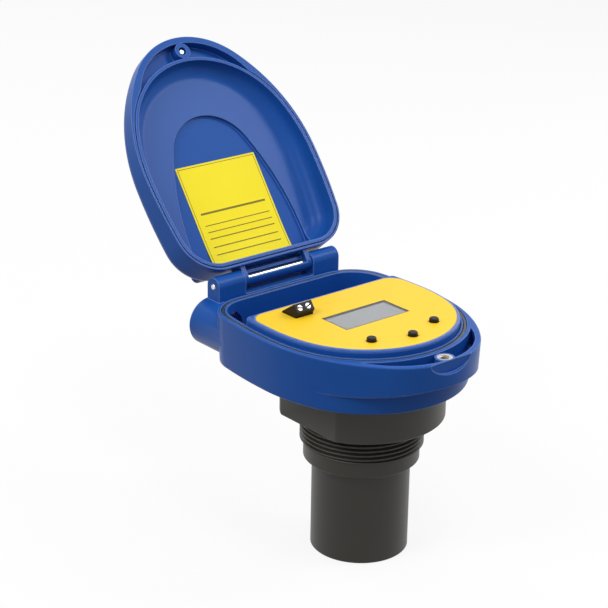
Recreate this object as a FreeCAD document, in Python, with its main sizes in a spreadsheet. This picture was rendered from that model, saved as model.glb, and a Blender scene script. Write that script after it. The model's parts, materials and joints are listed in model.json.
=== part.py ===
import FreeCAD, Part
import math
import os
import types

import Sketcher

# Ultrasonic level transmitter with its lid open, in millimetres.
# Origin: centre of the sensing face. +Z runs up the barrel, the hinge lies along X at the back (+Y).

SIZES = {
    # transducer housing, from the sensing face up
    "barrel_radius": 24.0,
    "barrel_length": 47.6,
    "barrel_edge": 0.3,
    "collar_radius": 28.3,
    "collar_length": 8.6,
    "collar_edge": 0.5,
    "thread_radius": 30.16,
    "thread_length": 14.8,
    "flange_radius": 40.0,
    "flange_thickness": 19.8,
    "flange_flat": 34.7,
    "flange_edge": 0.4,
    "bore_radius": 20.5,
    "face_thickness": 3.0,
    # acoustic stack
    "stack_clearance": 0.1,
    "matching_thickness": 4.0,
    "piezo_radius": 18.5,
    "piezo_thickness": 6.0,
    "backing_thickness": 24.0,
    "lead_radius": 0.6,
    "lead_spacing": 8.0,
    # base housing outline: tip arc, side arcs, rear side arcs, corners; an ease is what a round front
    # is tighter than the half width
    "half_width": 52.9,
    "wide_y": 11.0,
    "side_radius": 86.5,
    "tip_radius": 41.1,
    "front_ease": 1.0,
    "lower_front_ease": 1.9,
    "rear_y": 62.6,
    "rear_radius": 250.0,
    "corner_radius": 21.5,
    # base housing
    "base_height": 25.8,
    "base_floor": 3.6,
    "base_edge": 0.8,
    "base_draft": 2.5,
    "base_wall": 4.7,
    "rim_edge": 0.7,
    "rim_land": 1.7,
    "groove_width": 2.0,
    "groove_depth": 1.7,
    "lug_low": 8.6,
    "lug_rise": 7.0,
    "lug_reach": 14.0,
    "lug_sweep": 134.0,
    "lug_wall": 2.8,
    "pocket_depth": 9.0,
    "scoop_inset": 1.7,
    "scoop_drop": 5.7,
    "scoop_width": 40.0,
    # lid screw insert
    "insert_inset": 6.13,
    "insert_boss": 4.7,
    "insert_radius": 3.7,
    "insert_bore": 1.9,
    "insert_length": 8.0,
    "insert_sink": 0.1,
    # conduit hub
    "hub_x": -36.7,
    "hub_z": 12.4,
    "hub_radius": 12.1,
    "hub_bore": 9.2,
    "hub_thread": 16.0,
    "hub_throat": 8.0,
    "hub_root_y": 44.0,
    "hub_end_y": 73.4,
    # hinge
    "hinge_y": 68.0,
    "hinge_z": 5.8,
    "knuckle_radius": 4.7,
    "knuckle_inner": 21.6,
    "knuckle_outer": 38.2,
    "knuckle_foot": 14.0,
    "pin_radius": 1.5,
    "pin_fit": 0.05,
    "pin_end": 0.4,
    "pin_bevel": 0.3,
    "ear_width": 2.6,
    "ear_radius": 3.7,
    "ear_top": 5.2,
    "hinge_gap": 0.35,
    "web_gap": 2.2,
    "lid_web": 1.4,
    "cover_start": -72.5,
    "cover_sweep": 257.5,
    "cover_inside": 2.2,
    # lid
    "lid_open_angle": 130.5,
    "lid_gap": 0.3,
    "lid_height": 14.6,
    "lid_slope_angle": 4.0,
    "lid_edge": 5.5,
    "lid_wall": 3.4,
    "lid_skin": 3.0,
    "lid_inner_edge": 8.0,
    "lid_front_ease": 2.15,
    "lid_crest": 1.7,
    "lid_overhang": 1.6,
    "lid_groove_width": 0.7,
    "lid_groove_depth": 1.2,
    "lid_pocket": 5.2,
    "lid_boss": 4.3,
    "lid_hole": 2.2,
    "lid_recess": 3.8,
    "lid_recess_floor": 6.4,
    "panel_depth": 2.0,
    "panel_half_width": 35.0,
    "panel_wide_y": 50.0,
    "panel_side_radius": 140.0,
    "panel_tip_radius": 25.0,
    "panel_corner": 3.0,
    "panel_rear_gap": 2.2,
    # lid label
    "label_width": 50.0,
    "label_start": 2.0,
    "label_length": 54.0,
    "label_thickness": 0.3,
    # gasket
    "gasket_clearance": 0.1,
    "gasket_sink": 0.1,
    "gasket_edge": 0.7,
    # deck cover and face plate
    "deck_rise": 3.6,
    "deck_clearance": 0.3,
    "deck_rear": 32.2,
    "deck_corner": 2.5,
    "deck_inner_corner": 1.5,
    "deck_edge": 1.3,
    "deck_wall": 2.2,
    "deck_top": 2.4,
    "border_width": 1.6,
    "plate_thickness": 0.8,
    "plate_fit": 0.1,
    "plate_corner": 8.0,
    "post_radius": 2.8,
    "rear_post_inset": 14.9,
    "rear_post_y": 20.0,
    "front_post_inset": 18.9,
    "front_post_y": -16.0,
    # display
    "window_width": 39.6,
    "window_depth": 18.2,
    "window_y": -0.5,
    "window_thickness": 1.2,
    "window_sink": 0.1,
    "window_ledge": 1.2,
    "module_margin": 2.2,
    "module_height": 4.2,
    "module_gap": 0.1,
    "glass_fit": 0.2,
    "header_width": 36.0,
    "header_depth": 2.4,
    # circuit board
    "board_drop": 10.2,
    "board_thickness": 1.6,
    "board_margin": 1.0,
    "board_corner": 5.0,
    # screws
    "board_screw": 1.2,
    "board_screw_head": 2.4,
    "board_screw_head_height": 1.8,
    "board_screw_grip": 5.0,
    "flange_screw": 1.6,
    "flange_screw_head": 3.2,
    "flange_screw_head_height": 2.4,
    "flange_screw_grip": 10.0,
    "flange_screw_offset": 24.0,
    "screw_fit": 0.05,
    "screw_clearance": 0.3,
    # flange seal
    "seal_radius": 29.0,
    "seal_section": 0.9,
    "seal_groove": 2.2,
    # buttons
    "button_radius": 2.3,
    "button_rise": 1.9,
    "button_bevel": 0.4,
    "button_flange": 3.2,
    "button_flange_height": 1.1,
    "button_stem": 1.4,
    "button_clearance": 0.25,
    "button_travel": 0.6,
    "side_button_x": 19.6,
    "side_button_set": 6.6,
    "centre_button_inset": 11.06,
    "switch_width": 6.0,
    "switch_height": 3.6,
    "switch_overlap": 1.2,
    # terminal block
    "terminal_x": -24.1,
    "terminal_width": 10.4,
    "terminal_front": 15.8,
    "terminal_depth": 10.4,
    "terminal_heel": 0.6,
    "terminal_lip_reach": 1.2,
    "terminal_lip_rise": 2.9,
    "terminal_face": 4.6,
    "terminal_face_angle": 52.0,
    "terminal_pitch": 4.9,
    "terminal_screw": 1.6,
    "terminal_screw_height": 3.0,
    "terminal_screw_sink": 0.2,
    "terminal_slot": 0.6,
    "terminal_slot_depth": 0.7,
    "left_slot_turn": -15.0,
    "right_slot_turn": 20.0,
    "terminal_entry": 1.3,
    "terminal_entry_rise": 2.6,
    "terminal_entry_depth": 6.2,
    "terminal_fit": 0.2,
    # working allowances
    "overcut": 2.0,
    "slope_reach": 90.0,
    "lid_stock": 30.0,
}


class Size:
    """A length that knows its number now and the sheet expression it follows."""

    def __init__(self, number, text):
        self.number = float(number)
        self.text = text

    def __add__(self, other):
        other = as_size(other)
        return Size(self.number + other.number, f"({self.text} + {other.text})")

    def __sub__(self, other):
        other = as_size(other)
        return Size(self.number - other.number, f"({self.text} - {other.text})")

    def __mul__(self, other):
        other = as_size(other)
        return Size(self.number * other.number, f"({self.text} * {other.text})")

    def __truediv__(self, other):
        other = as_size(other)
        return Size(self.number / other.number, f"({self.text} / {other.text})")

    def __neg__(self):
        return Size(-self.number, f"(0 - {self.text})")


def as_size(value):
    return value if isinstance(value, Size) else Size(value, repr(float(value)))


def root(size):
    return Size(math.sqrt(size.number), f"sqrt({size.text})")


def sine(size):
    return Size(math.sin(math.radians(size.number)), f"sin({size.text})")


def cosine(size):
    return Size(math.cos(math.radians(size.number)), f"cos({size.text})")


def tangent(size):
    return Size(math.tan(math.radians(size.number)), f"tan({size.text})")


doc = FreeCAD.newDocument("level_transmitter")
sheet = doc.addObject("Spreadsheet::Sheet", "sheet")
dim = types.SimpleNamespace()
for row, (alias, number) in enumerate(SIZES.items(), start=1):
    sheet.set(f"A{row}", alias)
    sheet.set(f"B{row}", str(number))
    sheet.setAlias(f"B{row}", alias)
    setattr(dim, alias, Size(number, f"sheet.{alias}"))
doc.recompute()

# Levels worked out from the driving dimensions
collar_top = dim.barrel_length + dim.collar_length
thread_top = collar_top + dim.thread_length
base_z = thread_top + dim.flange_thickness
rim_z = base_z + dim.base_height
floor_z = base_z + dim.base_floor
plate_z = rim_z + dim.deck_rise
plate_low = plate_z - dim.plate_thickness
deck_under = plate_low - dim.deck_top
board_z = plate_z - dim.board_drop
board_low = board_z - dim.board_thickness
hinge_z = rim_z + dim.hinge_z
hub_z = base_z + dim.hub_z
lid_z = rim_z + dim.lid_gap


def arc_centre(radius):
    """Y of the centre of a front arc that runs smoothly into the housing's side arcs."""
    reach = dim.side_radius - radius
    offset = dim.side_radius - dim.half_width
    return dim.wide_y - root(reach * reach - offset * offset)


front_radius = dim.half_width - dim.front_ease
lower_front_radius = dim.half_width - dim.lower_front_ease
lid_front_radius = dim.half_width - dim.lid_front_ease
tip_y = arc_centre(dim.tip_radius) - dim.tip_radius
insert_y = tip_y + dim.insert_inset
deck_front = arc_centre(front_radius) - front_radius + dim.base_wall + dim.deck_clearance
centre_button_y = deck_front + dim.centre_button_inset
side_button_y = centre_button_y + dim.side_button_set


def bind(obj, **sizes):
    for name, size in sizes.items():
        obj.setExpression(name, as_size(size).text)
    return obj


def place(obj, x=0.0, y=0.0, z=0.0, axis=None, angle=0.0):
    """Set an object's place and turn from sheet sizes."""
    x, y, z, angle = as_size(x), as_size(y), as_size(z), as_size(angle)
    turn = FreeCAD.Rotation(axis or FreeCAD.Vector(0, 0, 1), angle.number)
    obj.Placement = FreeCAD.Placement(FreeCAD.Vector(x.number, y.number, z.number), turn)
    for name, size in (("x", x), ("y", y), ("z", z)):
        obj.setExpression(f"Placement.Base.{name}", size.text)
    if axis is not None:
        obj.setExpression("Placement.Rotation.Angle", angle.text)
    return obj


X_AXIS = FreeCAD.Vector(1, 0, 0)
Y_AXIS = FreeCAD.Vector(0, 1, 0)
Z_AXIS = FreeCAD.Vector(0, 0, 1)


def box(name, size_x, size_y, size_z, x, y, z):
    """A box centred on x and y, standing on z."""
    shape = bind(doc.addObject("Part::Box", name), Length=size_x, Width=size_y, Height=size_z)
    return place(shape, as_size(x) - as_size(size_x) / 2, as_size(y) - as_size(size_y) / 2, z)


def cylinder(name, radius, height, x, y, z, axis=None, angle=0.0):
    shape = bind(doc.addObject("Part::Cylinder", name), Radius=radius, Height=height)
    return place(shape, x, y, z, axis, angle)


def fuse(name, *shapes):
    joined = doc.addObject("Part::MultiFuse", name)
    joined.Shapes = list(shapes)
    return joined


def cut(name, base, *tools):
    result = doc.addObject("Part::Cut", name)
    result.Base = base
    result.Tool = tools[0] if len(tools) == 1 else fuse(name + "_tools", *tools)
    return result


def group(name, shapes):
    """Several separate solids kept as one piece of the list."""
    gathered = doc.addObject("Part::Compound", name)
    gathered.Links = list(shapes)
    return gathered


def new_body(name):
    return doc.addObject("PartDesign::Body", name)


def new_sketch(body, name, role, x=0.0, y=0.0, z=0.0):
    sketch = body.newObject("Sketcher::SketchObject", name)
    plane = [feature for feature in body.Origin.OriginFeatures if feature.Role == role][0]
    sketch.AttachmentSupport = [(plane, "")]
    sketch.MapMode = "FlatFace"
    for axis, size in (("x", x), ("y", y), ("z", z)):
        sketch.setExpression(f"AttachmentOffset.Base.{axis}", as_size(size).text)
    return sketch


def fix(sketch, kind, geometry, point, size):
    """Hold one coordinate of a sketch point at a sheet size."""
    index = sketch.addConstraint(Sketcher.Constraint(kind, -1, 1, geometry, point, size.number))
    sketch.setExpression(f"Constraints[{index}]", size.text)


def fix_radius(sketch, geometry, size):
    index = sketch.addConstraint(Sketcher.Constraint("Radius", geometry, size.number))
    sketch.setExpression(f"Constraints[{index}]", size.text)


def polygon(sketch, corners):
    """A closed outline of straight lines, each corner held by two sheet sizes."""
    corners = [(as_size(x), as_size(y)) for x, y in corners]
    places = [FreeCAD.Vector(x.number, y.number, 0) for x, y in corners]
    first = sketch.GeometryCount
    count = len(places)
    for index in range(count):
        sketch.addGeometry(Part.LineSegment(places[index], places[(index + 1) % count]))
    for index, (x, y) in enumerate(corners):
        line = first + index
        before = first + (index - 1) % count
        sketch.addConstraint(Sketcher.Constraint("Coincident", before, 2, line, 1))
        fix(sketch, "DistanceX", line, 1, x)
        fix(sketch, "DistanceY", line, 1, y)


def circle(sketch, x, y, radius):
    x, y, radius = as_size(x), as_size(y), as_size(radius)
    centre = FreeCAD.Vector(x.number, y.number, 0)
    index = sketch.addGeometry(Part.Circle(centre, FreeCAD.Vector(0, 0, 1), radius.number))
    fix_radius(sketch, index, radius)
    fix(sketch, "DistanceX", index, 3, x)
    fix(sketch, "DistanceY", index, 3, y)


def arc(sketch, x, y, radius, start, end):
    ring = Part.Circle(FreeCAD.Vector(x, y, 0), FreeCAD.Vector(0, 0, 1), radius)
    return sketch.addGeometry(Part.ArcOfCircle(ring, start, end))


def egg(sketch, half_width, wide_y, side_radius, tip_radius, rear_y, rear_radius, corner_radius):
    """A rounded outline: tip arc, two side arcs, two rear side arcs, two corners, straight back."""
    sizes = (half_width, wide_y, side_radius, tip_radius, rear_y, rear_radius, corner_radius)
    half, wide, side, tip, rear, back, corner = [size.number for size in sizes]
    tip_y = wide - math.sqrt((side - tip) ** 2 - (side - half) ** 2)
    tip_turn = math.atan2(tip_y - wide, side - half)
    corner_y = rear - corner
    corner_x = half - back + math.sqrt((back - corner) ** 2 - (corner_y - wide) ** 2)
    corner_turn = math.atan2(corner_y - wide, corner_x - half + back)
    right_angle = math.pi / 2

    front = arc(sketch, 0, tip_y, tip, -math.pi - tip_turn, tip_turn)
    right_side = arc(sketch, half - side, wide, side, tip_turn, 0)
    right_back = arc(sketch, half - back, wide, back, 0, corner_turn)
    right_corner = arc(sketch, corner_x, corner_y, corner, corner_turn, right_angle)
    ends = FreeCAD.Vector(corner_x, rear, 0), FreeCAD.Vector(-corner_x, rear, 0)
    back_line = sketch.addGeometry(Part.LineSegment(*ends))
    left_corner = arc(sketch, -corner_x, corner_y, corner, right_angle, math.pi - corner_turn)
    left_back = arc(sketch, back - half, wide, back, math.pi - corner_turn, math.pi)
    left_side = arc(sketch, side - half, wide, side, math.pi, math.pi - tip_turn)

    loop = [front, right_side, right_back, right_corner, back_line, left_corner, left_back, left_side]
    for before, after in zip(loop, loop[1:] + loop[:1]):
        sketch.addConstraint(Sketcher.Constraint("Tangent", before, 2, after, 1))
    for right, left, radius in (
        (right_side, left_side, side_radius),
        (right_back, left_back, rear_radius),
        (right_corner, left_corner, corner_radius),
    ):
        sketch.addConstraint(Sketcher.Constraint("Equal", right, left))
        fix_radius(sketch, right, radius)
    fix_radius(sketch, front, tip_radius)
    sketch.addConstraint(Sketcher.Constraint("Horizontal", back_line))
    sketch.addConstraint(Sketcher.Constraint("Horizontal", right_side, 3, right_side, 2))
    sketch.addConstraint(Sketcher.Constraint("Horizontal", left_side, 3, left_side, 1))
    sketch.addConstraint(Sketcher.Constraint("Symmetric", right_side, 2, left_side, 1, -2))
    fix(sketch, "DistanceX", right_side, 2, half_width)
    fix(sketch, "DistanceY", right_side, 2, wide_y)
    fix(sketch, "DistanceY", back_line, 1, rear_y)


def housing_outline(sketch, inset, tip_radius, rear_y=None, corner_radius=None, forward=0.0):
    """The housing's outline drawn inset by one distance, with the sharp tip or the round front."""
    inset = as_size(inset)
    egg(
        sketch,
        dim.half_width - inset,
        dim.wide_y - forward,
        dim.side_radius - inset,
        tip_radius - inset,
        rear_y or dim.rear_y - inset,
        dim.rear_radius - inset,
        corner_radius or dim.corner_radius - inset,
    )


def crescent(sketch, outer_inset, outer_centre, inner, inner_centre):
    """The moon-shaped space between the tip's wall and the round sealing wall."""
    outer = dim.tip_radius - outer_inset
    rise = inner_centre.number - outer_centre.number
    meet_y = (outer.number ** 2 - inner.number ** 2 + rise ** 2) / (2 * rise)
    meet_x = math.sqrt(outer.number ** 2 - meet_y ** 2)
    outer_turn = math.atan2(meet_y, meet_x)
    inner_turn = math.atan2(meet_y - rise, meet_x)
    low = arc(sketch, 0, outer_centre.number, outer.number, -math.pi - outer_turn, outer_turn)
    high = arc(sketch, 0, inner_centre.number, inner.number, -math.pi - inner_turn, inner_turn)
    sketch.addConstraint(Sketcher.Constraint("Coincident", low, 1, high, 1))
    sketch.addConstraint(Sketcher.Constraint("Coincident", low, 2, high, 2))
    for index, radius, centre_y in ((low, outer, outer_centre), (high, inner, inner_centre)):
        fix_radius(sketch, index, radius)
        sketch.addConstraint(Sketcher.Constraint("PointOnObject", index, 3, -2))
        fix(sketch, "DistanceY", index, 3, centre_y)


def pad(body, sketch, length, side="One side"):
    feature = body.newObject("PartDesign::Pad", sketch.Name + "_pad")
    feature.Profile = sketch
    feature.SideType = side
    return bind(feature, Length=length)


def drafted(name, level, depth, front_radius, inset):
    """A housing block hung down from one outline, its walls drawn in by the moulding draft."""
    body = new_body(name)
    sketch = new_sketch(body, name + "_outline", "XY_Plane", 0, 0, level)
    housing_outline(sketch, inset, front_radius)
    feature = pad(body, sketch, depth)
    feature.Reversed = True
    bind(feature, TaperAngle=-dim.base_draft)
    return body, feature


def pocket(body, sketch, length, side="One side"):
    feature = body.newObject("PartDesign::Pocket", sketch.Name + "_pocket")
    feature.Profile = sketch
    feature.SideType = side
    return bind(feature, Length=length)


def prism(name, level, height, draw, *args, hinged=False):
    """A body raised from one flat outline; a hinged one is drawn from the hinge axis."""
    body = new_body(name)
    if hinged:
        sketch = new_sketch(body, name + "_outline", "XY_Plane", 0, -dim.hinge_y, level - hinge_z)
    else:
        sketch = new_sketch(body, name + "_outline", "XY_Plane", 0, 0, level)
    draw(sketch, *args)
    pad(body, sketch, height)
    return body


def side_prism(name, width, corners, x=0.0):
    """A body with a constant section in the YZ plane, as wide as given about x."""
    body = new_body(name)
    sketch = new_sketch(body, name + "_section", "YZ_Plane", 0, 0, x)
    polygon(sketch, corners)
    pad(body, sketch, width, "Symmetric")
    return body


def turned(name, corners, x=0.0, y=0.0):
    """A body of revolution from a half section of radius and height."""
    body = new_body(name)
    sketch = new_sketch(body, name + "_section", "XZ_Plane")
    polygon(sketch, corners)
    feature = body.newObject("PartDesign::Revolution", name + "_turn")
    feature.Profile = sketch
    feature.ReferenceAxis = (sketch, ["V_Axis"])
    feature.Angle = 360
    return place(body, x, y)


def round_edges(body, feature, radius, level):
    """Fillet every edge of a feature that lies at one height in the body's own frame."""
    doc.recompute()
    names = []
    for index, edge in enumerate(feature.Shape.Edges, start=1):
        if all(abs(vertex.Z - level.number) < 0.001 for vertex in edge.Vertexes):
            names.append(f"Edge{index}")
    fillet = body.newObject("PartDesign::Fillet", feature.Name + "_round")
    fillet.Base = (feature, names)
    return bind(fillet, Radius=radius)


def round_slope(body, feature, radius):
    """Fillet the rim of the lid's sloping top face."""
    doc.recompute()
    shape = feature.Shape
    top = max(
        (face for face in shape.Faces if abs(face.normalAt(0, 0).y) < 0.5 and face.normalAt(0, 0).z > 0.9),
        key=lambda face: face.CenterOfMass.z,
    )
    names = []
    for index, edge in enumerate(shape.Edges, start=1):
        if any(edge.isSame(rim) for rim in top.Edges):
            names.append(f"Edge{index}")
    fillet = body.newObject("PartDesign::Fillet", feature.Name + "_round")
    fillet.Base = (feature, names)
    return bind(fillet, Radius=radius)


def make_transducer_housing():
    groove_half = dim.seal_groove / 2
    groove_low = base_z - dim.seal_section * 2
    body = turned("turned_housing", [
        (0, 0),
        (dim.barrel_radius - dim.barrel_edge, 0),
        (dim.barrel_radius, dim.barrel_edge),
        (dim.barrel_radius, dim.barrel_length),
        (dim.collar_radius - dim.collar_edge, dim.barrel_length),
        (dim.collar_radius, dim.barrel_length + dim.collar_edge),
        (dim.collar_radius, collar_top),
        (dim.thread_radius, collar_top),
        (dim.thread_radius, thread_top),
        (dim.flange_radius - dim.flange_edge, thread_top),
        (dim.flange_radius, thread_top + dim.flange_edge),
        (dim.flange_radius, base_z),
        (dim.seal_radius + groove_half, base_z),
        (dim.seal_radius + groove_half, groove_low),
        (dim.seal_radius - groove_half, groove_low),
        (dim.seal_radius - groove_half, base_z),
        (dim.bore_radius, base_z),
        (dim.bore_radius, dim.face_thickness),
        (0, dim.face_thickness),
    ])
    flats = new_sketch(body, "wrench_flats", "XY_Plane", 0, 0, base_z)
    reach = dim.flange_radius + dim.overcut
    for side in (1, -1):
        polygon(flats, [
            (dim.flange_flat * side, -reach),
            (reach * side, -reach),
            (reach * side, reach),
            (dim.flange_flat * side, reach),
        ])
    pocket(body, flats, dim.flange_thickness)
    holes = new_sketch(body, "flange_holes", "XY_Plane", 0, 0, base_z)
    for x, y in flange_screw_places():
        circle(holes, x, y, dim.flange_screw + dim.screw_fit)
    pocket(body, holes, dim.flange_screw_grip + dim.overcut)
    body.Label = "transducer_housing"
    return body


def flange_screw_places():
    offset = dim.flange_screw_offset
    return [(offset * side_x, offset * side_y) for side_x in (1, -1) for side_y in (1, -1)]


def board_screw_places():
    rows = ((dim.rear_post_inset, dim.rear_post_y), (dim.front_post_inset, dim.front_post_y))
    return [((dim.half_width - inset) * side, y) for inset, y in rows for side in (1, -1)]


def button_places():
    return {
        "button_left": (-dim.side_button_x, side_button_y),
        "button_centre": (as_size(0), centre_button_y),
        "button_right": (dim.side_button_x, side_button_y),
    }


def make_base_shell():
    """Drafted lower body with the egg-shaped rim and its overhanging front lug."""
    low = base_z + dim.lug_low
    upper_height = dim.base_height - dim.lug_low
    drawn_in = upper_height * tangent(dim.base_draft)
    lower, block = drafted("lower_shell", low, dim.lug_low, lower_front_radius, drawn_in)
    round_edges(lower, block, dim.base_edge, base_z)

    upper, block = drafted("upper_shell", rim_z, upper_height, dim.tip_radius, 0)
    round_edges(upper, block, dim.rim_edge, rim_z)
    under = new_sketch(upper, "lug_underside", "YZ_Plane", arc_centre(lower_front_radius), 0, 0)
    inner = drawn_in - lower_front_radius
    outer = inner - dim.lug_reach
    polygon(under, [
        (inner, low - dim.overcut),
        (inner, low),
        (outer, low + dim.lug_rise),
        (outer, low - dim.overcut),
    ])
    groove = upper.newObject("PartDesign::Groove", "lug_groove")
    groove.Profile = under
    groove.ReferenceAxis = (under, ["V_Axis"])
    groove.Midplane = True
    bind(groove, Angle=dim.lug_sweep)
    return fuse("base_shell", lower, upper)


def hinge_bracket(name, width, middle, top):
    """A bracket behind the rear wall, up to one height, clear of the lid's skirt."""
    front = dim.hinge_y - dim.knuckle_radius
    back = dim.hinge_y + dim.knuckle_radius
    wall = dim.rear_y - dim.rim_land
    return side_prism(name, width, [
        (front, top),
        (front, rim_z - dim.groove_depth),
        (wall, rim_z - dim.groove_depth),
        (wall, rim_z - dim.knuckle_foot),
        (dim.rear_y, rim_z - dim.knuckle_foot),
        (back, hinge_z - dim.knuckle_radius * 2),
        (back, top),
    ], middle)


def make_hinge_brackets():
    """Two knuckles for the pin and a lower web between them."""
    width = dim.knuckle_outer - dim.knuckle_inner
    brackets = [hinge_bracket(
        "hinge_web", dim.knuckle_inner * 2 + width, as_size(0), hinge_z - dim.ear_radius - dim.web_gap)]
    for name, side in (("right_knuckle", 1), ("left_knuckle", -1)):
        middle = (dim.knuckle_outer + dim.knuckle_inner) / 2 * side
        brackets.append(hinge_bracket(name, width, middle, hinge_z))
        brackets.append(cylinder(
            name + "_eye", dim.knuckle_radius, width,
            middle - width / 2, dim.hinge_y, hinge_z, Y_AXIS, 90))
    return brackets


def make_base_housing():
    shell = make_base_shell()
    hub = cylinder(
        "conduit_hub", dim.hub_radius, dim.hub_end_y - dim.hub_root_y,
        dim.hub_x, dim.hub_end_y, hub_z, X_AXIS, 90)
    solid = fuse("base_solid", shell, hub, *make_hinge_brackets())

    bay = prism(
        "bay_space", floor_z, dim.base_height, housing_outline, dim.base_wall, front_radius)
    seat = prism(
        "gasket_space", rim_z - dim.groove_depth, dim.groove_depth + dim.overcut, groove_ring, as_size(0))
    moon = prism(
        "pocket_space", rim_z - dim.pocket_depth, dim.pocket_depth + dim.overcut,
        crescent, dim.lug_wall, arc_centre(dim.tip_radius), front_radius, arc_centre(front_radius))
    opening = cylinder(
        "stack_opening", dim.bore_radius, dim.base_floor + dim.overcut * 2, 0, 0, base_z - dim.overcut)
    screw_holes = [
        cylinder(
            f"flange_hole_{index}", dim.flange_screw + dim.screw_clearance,
            dim.base_floor + dim.overcut * 2, x, y, base_z - dim.overcut)
        for index, (x, y) in enumerate(flange_screw_places())
    ]
    bore_end = dim.hub_end_y + dim.overcut
    conduit = [
        cylinder(name, radius, depth + dim.overcut, dim.hub_x, bore_end, hub_z, X_AXIS, 90)
        for name, radius, depth in (
            ("conduit_thread", dim.hub_bore, dim.hub_thread),
            ("conduit_throat", dim.hub_throat, dim.hub_end_y - dim.hub_root_y),
        )
    ]
    pin_half = dim.knuckle_outer + dim.overcut
    pin_hole = cylinder(
        "pin_hole", dim.pin_radius + dim.pin_fit, pin_half * 2,
        -pin_half, dim.hinge_y, hinge_z, Y_AXIS, 90)
    hollow = cut("base_hollow", solid, bay, seat, moon, opening, pin_hole, *conduit, *screw_holes)

    boss_top = rim_z - dim.insert_sink
    boss_low = rim_z - dim.pocket_depth - dim.overcut
    boss = cylinder("insert_boss", dim.insert_boss, boss_top - boss_low, 0, insert_y, boss_low)
    insert_hole = cylinder(
        "insert_hole", dim.insert_radius, dim.insert_length + dim.overcut,
        0, insert_y, boss_top - dim.insert_length)
    return cut("base_housing", fuse("base_with_boss", hollow, boss), insert_hole, make_finger_scoop())


def make_finger_scoop():
    """A hollow across the round tip: a straight edge at the rim, a curved one below it."""
    inset = dim.scoop_inset
    radius = (dim.scoop_drop * dim.scoop_drop + inset * inset) / (inset * 2)
    return cylinder(
        "finger_scoop", radius, dim.scoop_width,
        -dim.scoop_width / 2, tip_y + inset - radius, rim_z, Y_AXIS, 90)


def make_lid_cap(
        name, inset, tip_radius, forward, level, skin, edge, panel_inset, panel_rise, panel_rear):
    """A sloping egg-shaped cap with its raised panel; made once solid and once as the hollow."""
    body = new_body(name)
    outline = new_sketch(body, name + "_outline", "XY_Plane", 0, -dim.hinge_y, level - hinge_z)
    housing_outline(outline, inset, tip_radius, forward=forward)
    pad(body, outline, dim.lid_stock)
    sloped = cut_slope(body, name + "_slope", dim.lid_height - skin)
    round_slope(body, sloped, edge)
    panel = new_sketch(body, name + "_panel", "XY_Plane", 0, -dim.hinge_y, level - hinge_z)
    egg(
        panel,
        dim.panel_half_width - panel_inset,
        dim.panel_wide_y,
        dim.panel_side_radius - panel_inset,
        dim.panel_tip_radius - panel_inset,
        panel_rear,
        dim.panel_side_radius - panel_inset,
        dim.panel_corner,
    )
    pad(body, panel, dim.lid_stock)
    cut_slope(body, name + "_panel_slope", dim.lid_height - skin + panel_rise)
    return body


def slope_height(height, y):
    """Height above the rim of the lid's slope at one place along Y, seen from the hinge axis."""
    return rim_z - hinge_z + height + tangent(dim.lid_slope_angle) * y


def cut_slope(body, name, height):
    section = new_sketch(body, name, "YZ_Plane")
    reach = dim.slope_reach
    top = slope_height(height, reach) + dim.lid_stock
    polygon(section, [
        (-reach - dim.hinge_y, slope_height(height, -reach)),
        (reach - dim.hinge_y, slope_height(height, reach)),
        (reach - dim.hinge_y, top),
        (-reach - dim.hinge_y, top),
    ])
    return pocket(body, section, reach * 2, "Symmetric")


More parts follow.
